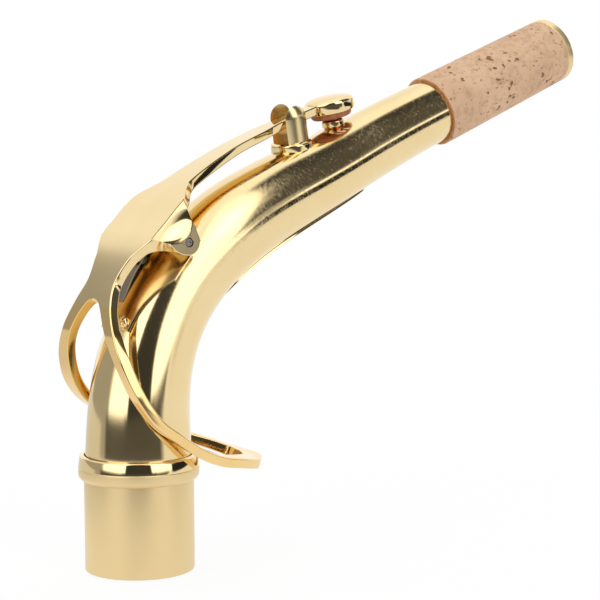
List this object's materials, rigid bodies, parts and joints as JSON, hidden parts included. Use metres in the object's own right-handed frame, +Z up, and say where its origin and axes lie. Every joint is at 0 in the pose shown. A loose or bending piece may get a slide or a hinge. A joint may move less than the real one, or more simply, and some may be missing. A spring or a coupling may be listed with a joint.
{
  "type": "saxophone neck",
  "caption": "Curved, tapered brass saxophone neck with a tenon sleeve, a corked mouthpiece end and an octave key whose ring goes round the tube.",
  "frame": {"origin": "centre of the tenon's lower end, on the tenon's axis", "axes": "+Z up the tenon into the neck, +X the side that the mouthpiece end points to; the neck bends in the plane Y = 0, and -Y is the near side in the picture"},
  "size_m": [0.1442, 0.0326, 0.1253],
  "materials": {
    "lacquered_brass": "polished, clear gold lacquer",
    "satin_brass": "satin, unlacquered",
    "sheet_cork": "sanded sheet cork",
    "spring_steel": "blued and ground steel",
    "pad_leather": "pad skin"
  },
  "bodies": {
    "neck": {"neck_tube": "lacquered_brass", "tenon_sleeve": "satin_brass", "tenon_collar": "lacquered_brass", "mouthpiece_cork": "sheet_cork", "mouthpiece_end_ring": "lacquered_brass", "octave_vent_pip": "lacquered_brass", "key_guide_post": "lacquered_brass", "guide_post_foot": "lacquered_brass", "key_saddle": "lacquered_brass", "underside_brace": "lacquered_brass", "hinge_barrel": "lacquered_brass", "hinge_rod": "spring_steel", "saddle_stud": "lacquered_brass"},
    "octave_key": {"octave_key_lever": "lacquered_brass", "pad_cup": "lacquered_brass", "key_pad": "pad_leather", "key_spring": "spring_steel", "spring_screw": "spring_steel"}
  },
  "joints": [
    {"name": "octave_key_hinge", "type": "hinge", "parent": "neck", "child": "octave_key", "pos_m": [0.00542, 0, 0.07347], "axis": [0, -1, 0], "range_deg": [0, 3.2], "stiffness_Nm_per_rad": 0.2, "springref_deg": -11.46, "deforming": ["key_spring"]}
  ]
}
